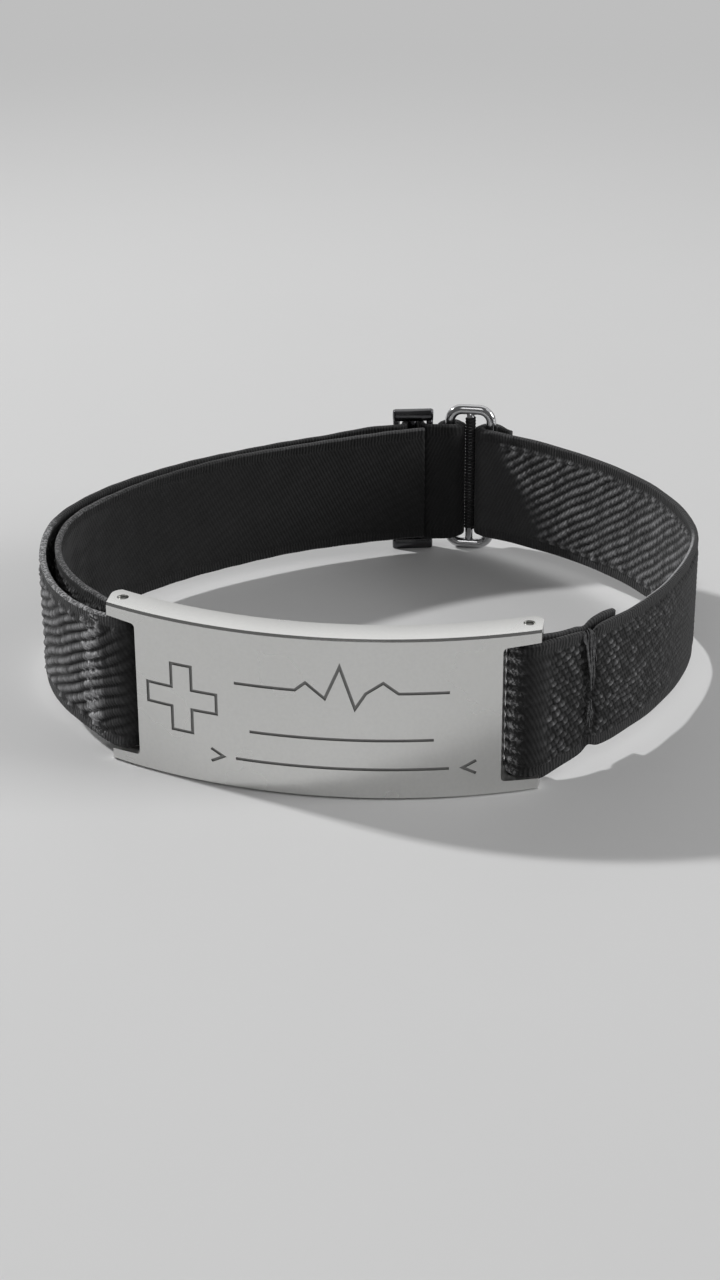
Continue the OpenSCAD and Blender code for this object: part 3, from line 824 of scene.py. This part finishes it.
def rail(name, z0, z1, radius, soft=0.16, arc=12):
    """Rail of the slider: a bar with round ends and softened edges."""
    inset = radius * 0.45
    rows = [(inset, z0)]
    for k in range(7):
        a = math.radians(-90 + 30 * k)
        z = z0 + soft if k < 3 else z1 - soft if k > 3 else (z0 + z1) / 2
        rows.append((radius - soft + soft * math.cos(a), z + soft * math.sin(a)))
    rows.append((inset, z1))
    verts, faces = [], []
    for rad, z in rows:
        for side in (1, -1):
            for i in range(arc + 1):
                a = -90 + 180 * i / arc + (0 if side > 0 else 180)
                c = on_slider(side * SLIDER_PITCH, 0) + rad * heading(a + SLIDER_TILT) - CENTRE
                verts.append((c[0], c[1], z))
    n = 2 * (arc + 1)
    for low in range(0, (len(rows) - 1) * n, n):
        high = low + n
        faces += [(low + i, low + (i + 1) % n, high + (i + 1) % n, high + i) for i in range(n)]
    for base, way in ((0, -1), ((len(rows) - 1) * n, 1)):
        faces += [(base + i, base + i + 1, base + n - i - 2, base + n - 1 - i)[::way] for i in range(arc)]
    return make_mesh(name, np.array(verts) * MM, faces)


r = SLIDER_WIRE / 2
z0 = (PLATE_H - SLIDER_H) / 2
rails = [
    rail("slider_rail_low", z0, z0 + SLIDER_RAIL, r + SLIDER_LIP),
    rail("slider_rail_high", z0 + SLIDER_H - SLIDER_RAIL - 0.05, z0 + SLIDER_H, r + SLIDER_LIP),
]
bars = []
for k, name in ((-1, "slider_bar_left"), (0, "slider_bar_middle"), (1, "slider_bar_right")):
    x, y = on_slider(k * SLIDER_PITCH, 0) - CENTRE
    low, span = z0 + SLIDER_RAIL / 2, SLIDER_H - SLIDER_RAIL
    bars.append(wire(name, [(x, y, low + span * i / 12) for i in range(13)], r, 24, closed=False))
for piece in rails + bars:
    dress(piece, NICKEL)
    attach(piece, "root")
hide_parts("slider")

# Threads of the bar tack


def along_strap(path):
    q, t, d = even(path, 0.1)
    n = np.stack([-t[:, 1], t[:, 0]], 1)

    def place(at, v, off):
        out = [np.interp(at, d, q[:, i]) + off * np.interp(at, d, n[:, i]) - CENTRE[i] for i in (0, 1)]
        return np.array([out[0], out[1], PLATE_H / 2 + v])

    return place


def strand(name, at, v0, v1, radius, seed):
    """Thread of the bar tack that runs down the outer face, a little slack."""
    rnd = np.random.RandomState(seed)
    a, b = rnd.uniform(0, 6.28, 2)
    points = []
    for u in np.linspace(0, 1, 22):
        off = -0.44 - 0.10 * math.sin(3.1 * u) + (0.25 if u in (0, 1) else 0)
        slant = 0.75 * (u - 0.5) if v0 > 0 else 0
        stray = 0.12 * math.sin(5 * u + a) + 0.06 * math.sin(11 * u + b)
        points.append(on_main(at + slant + stray, v0 + (v1 - v0) * u, off))
    taper = radius * np.sin(np.linspace(0.25, math.pi - 0.25, len(points))) ** 0.5
    return wire(name, points, taper, 10, closed=False)


on_main = along_strap(rp)
# Place along the strap, height of both ends from the strap's middle, and radius
THREADS = [
    (-1.25, 6.7, 4.2, 0.08), (-0.95, 6.9, 2.2, 0.09), (-0.66, 7.0, 0.4, 0.10), (-0.40, 7.0, -0.3, 0.09),
    (-0.12, 7.1, 0.0, 0.10), (0.16, 7.0, 1.0, 0.09), (0.42, 7.0, 0.2, 0.09), (0.72, 6.8, 3.0, 0.08),
    (-0.36, -1.2, -3.9, 0.10), (-0.08, -1.5, -3.2, 0.09), (0.18, -1.3, -4.4, 0.09), (0.44, -1.0, -3.6, 0.08),
]
TACK_LIGHT, WRAP_LIGHT = 0.48, 0.08
strands = []
for k, (shift, v0, v1, radius) in enumerate(THREADS):
    at = tack_main_s - 0.85 + 0.62 * shift
    strands.append(strand(f"bar_tack_thread_{k + 1}", at, v0, v1, radius, 100 + k))
for piece in strands + [wrap]:
    count = len(piece.data.vertices)
    co = np.empty(count * 3, np.float32)
    piece.data.vertices.foreach_get("co", co)
    set_floats(piece, "light", np.full(count, WRAP_LIGHT if piece == wrap else TACK_LIGHT))
    set_floats(piece, "cloth", np.ones(count))
    set_floats(piece, "along", co[2::3] / MM * 0.6)
    set_floats(piece, "across", np.zeros(count))
    set_floats(piece, "glint", np.zeros(count))
    dress(piece, CLOTH)
    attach(piece, "root")

# Floor, light and camera


# Floor's own tone, brightness of the far ground, of the room and of the wall seen in reflections
FLOOR_TONE, SWEEP, AMBIENT, WALL = 0.69, 0.515, 0.143, 0.68


def floor_material():
    mat, nt, bsdf = new_material("pale floor")
    obj = node(nt, "ShaderNodeTexCoord").outputs["Object"]
    tone = add(nt, FLOOR_TONE, swing(nt, noise_node(nt, obj, 40), 0.012))
    nd = node(nt, "ShaderNodeCombineColor")
    for k in range(3):
        nt.links.new(tone, nd.inputs[k])
    nt.links.new(nd.outputs[0], bsdf.inputs["Base Color"])
    # Far from the object the floor is seen as the even pale ground of a studio sweep
    far = node(nt, "ShaderNodeVectorMath", operation="LENGTH")
    nt.links.new(obj, far.inputs[0])
    share = node(nt, "ShaderNodeMapRange", interpolation_type="SMOOTHSTEP")
    nt.links.new(far.outputs["Value"], share.inputs["Value"])
    share.inputs["From Min"].default_value, share.inputs["From Max"].default_value = 0.12, 0.30
    seen = mul(nt, share.outputs["Result"], node(nt, "ShaderNodeLightPath").outputs["Is Camera Ray"])
    even_ground = node(nt, "ShaderNodeEmission")
    even_ground.inputs[0].default_value = (SWEEP, SWEEP, SWEEP, 1)
    blend = node(nt, "ShaderNodeMixShader")
    nt.links.new(seen, blend.inputs[0])
    nt.links.new(bsdf.outputs[0], blend.inputs[1])
    nt.links.new(even_ground.outputs[0], blend.inputs[2])
    nt.links.new(blend.outputs[0], nt.nodes["Material Output"].inputs[0])
    bsdf.inputs["Roughness"].default_value = 0.45
    bsdf.inputs["Specular IOR Level"].default_value = 0.12
    return mat


corners = [(x, y, -0.00002) for x, y in ((-3, -3), (3, -3), (3, 3), (-3, 3))]
floor = make_mesh("floor", corners, [(0, 1, 2, 3)], False)
dress(floor, floor_material())


def softbox(name, azimuth, elevation, size, power):
    """Square light one metre from the object's middle, facing it."""
    a, e = math.radians(azimuth), math.radians(elevation)
    place = Vector((math.cos(e) * math.cos(a), math.cos(e) * math.sin(a), math.sin(e)))
    lamp = bpy.data.lights.new(name, "AREA")
    lamp.shape = "SQUARE"
    lamp.size, lamp.energy = size, power
    ob = linked(name, lamp)
    ob.location = place
    ob.rotation_euler = (-place).to_track_quat("-Z", "Y").to_euler()


softbox("key softbox", 162.9, 35.6, 0.05, 7.6)
softbox("right softbox", 0, 22, 0.4, 5.3)
softbox("front softbox", 270, 48, 0.4, 0.9)
softbox("high right softbox", 0, 48, 0.4, 0.45)

world = bpy.data.worlds.new("studio")
bpy.context.scene.world = world
world.use_nodes = True
nt = world.node_tree
# A bright wall behind the object, seen only in reflections, brighter higher up
way = node(nt, "ShaderNodeSeparateXYZ")
nt.links.new(node(nt, "ShaderNodeTexCoord").outputs["Generated"], way.inputs[0])
rays = node(nt, "ShaderNodeLightPath").outputs
wall = mul(nt, sub(nt, way.outputs[1], 0.10), 2.5, clamp=True)
wall = mul(nt, wall, mul(nt, sub(nt, way.outputs[2], 0.05), 6.0, clamp=True))
wall = mul(nt, wall, rays["Is Glossy Ray"])
wall = mul(nt, wall, add(nt, mul(nt, way.outputs[2], 1.25), 0.45))
strength = add(nt, mul(nt, wall, WALL), AMBIENT)
strength = add(nt, strength, mul(nt, rays["Is Camera Ray"], SWEEP - AMBIENT))
nt.links.new(strength, nt.nodes["Background"].inputs[1])
nt.nodes["Background"].inputs[0].default_value = (1, 1, 1, 1)

cam_data = bpy.data.cameras.new("camera")
cam_data.sensor_fit = "VERTICAL"
cam_data.sensor_height = 36
cam_data.lens = 72.41
cam_data.clip_start = 0.01
cam = linked("camera", cam_data)
# Fitted to the photograph: the axes' directions, and the place in millimetres from the plate's front middle
x_axis = Vector((0.98799, 0.15453, -0.0044))
z_axis = -Vector((-0.1406, 0.8861, -0.4417)).normalized()
y_axis = z_axis.cross(x_axis).normalized()
x_axis = y_axis.cross(z_axis)
m = Matrix((x_axis, y_axis, z_axis)).transposed().to_4x4()
m.translation = Vector((40.12 - CENTRE[0], -223.34 - CENTRE[1], 129.44)) * MM
cam.matrix_world = m
bpy.context.scene.camera = cam
bpy.context.scene.view_settings.view_transform = "Standard"

bpy.context.view_layer.update()
